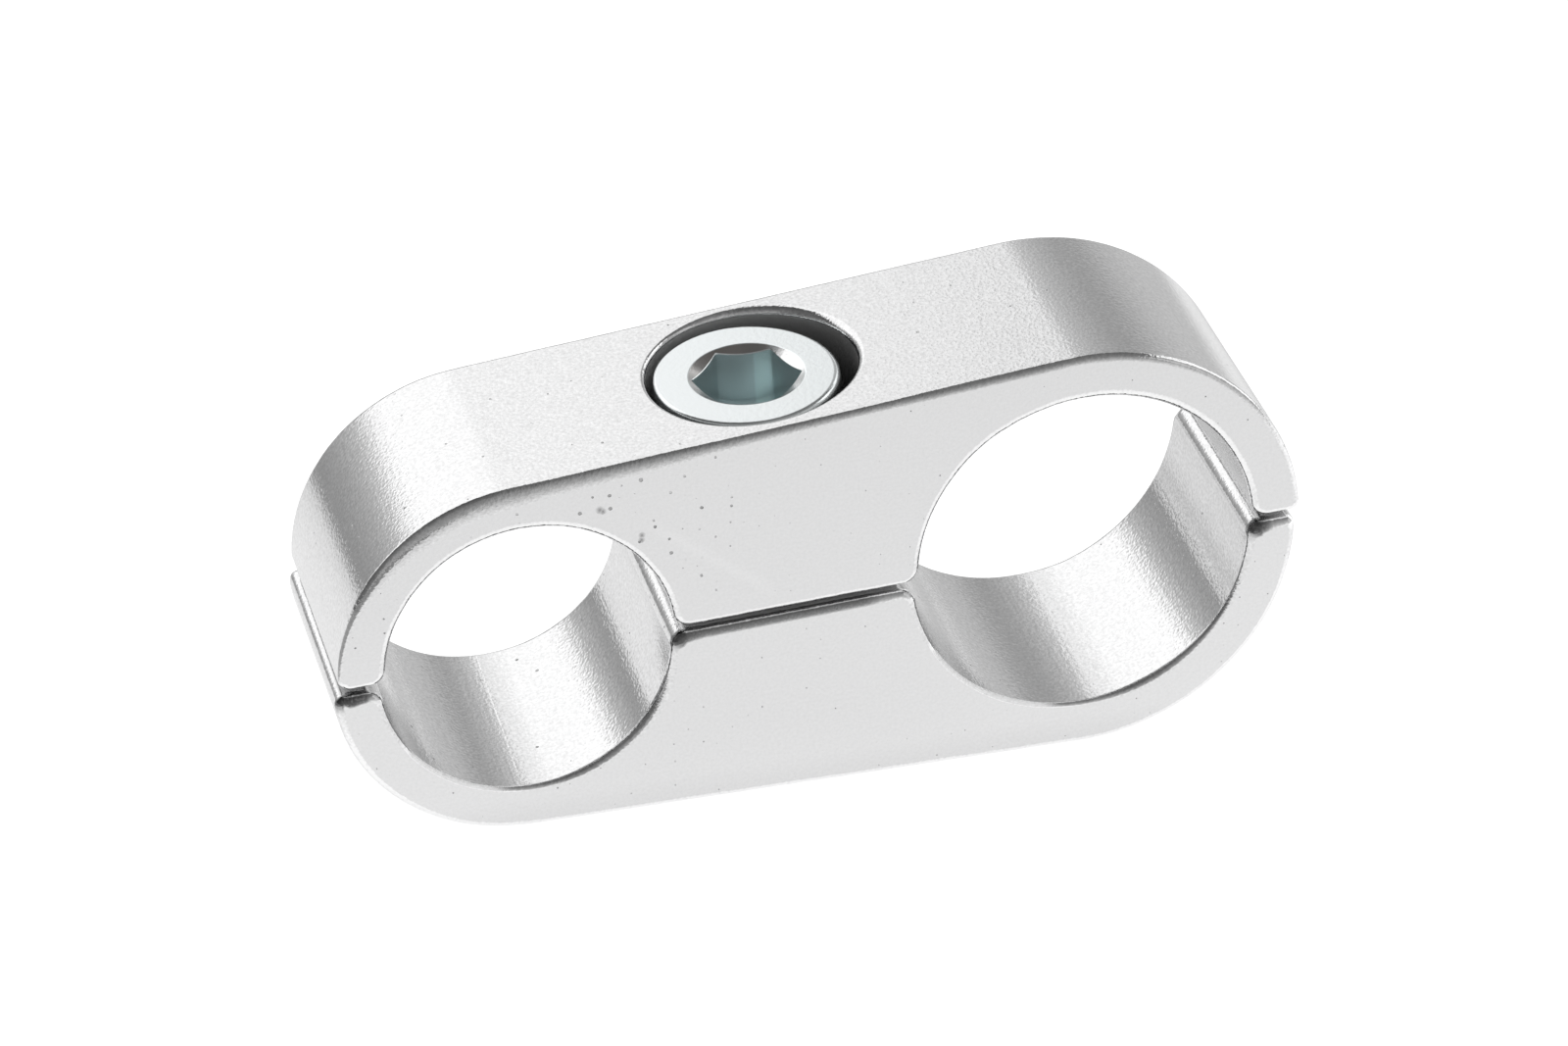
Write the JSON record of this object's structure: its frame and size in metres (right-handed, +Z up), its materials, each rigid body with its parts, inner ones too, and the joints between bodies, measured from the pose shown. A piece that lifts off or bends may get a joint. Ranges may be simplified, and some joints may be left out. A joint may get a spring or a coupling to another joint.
{
  "type": "hose separator clamp",
  "caption": "Two-piece split clamp that holds a small and a large hose side by side, closed by a socket cap screw between the bores.",
  "frame": {"origin": "middle of the underside, under the centre of the overall length and depth", "axes": "+X along the body from the small bore to the large one, +Y along the hoses and away from the viewer, +Z up from the underside it stands on; the split plane and the screw lean with the body's taper"},
  "size_m": [0.0504, 0.0128, 0.0232],
  "materials": {
    "body": "tumbled satin",
    "screw": "bright zinc plate"
  },
  "bodies": {
    "base": {"lower_half": "body"},
    "jaw": {"upper_half": "body"},
    "screw": {"cap_screw": "screw"}
  },
  "joints": [
    {"name": "jaw_lift", "type": "slide", "parent": "base", "child": "jaw", "axis": [-0.0534, 0, 0.9986], "range_m": [-0.00035, 0.0085]},
    {"name": "screw_turn", "type": "hinge", "parent": "jaw", "child": "screw", "pos_m": [-0.00204, 0, 0.01474], "axis": [-0.0534, 0, 0.9986], "range_deg": [-100, 2410]}
  ],
  "couplings": [
    {"joint": "screw_turn", "follows": "jaw_lift", "rad_per_m": 4947.4}
  ]
}
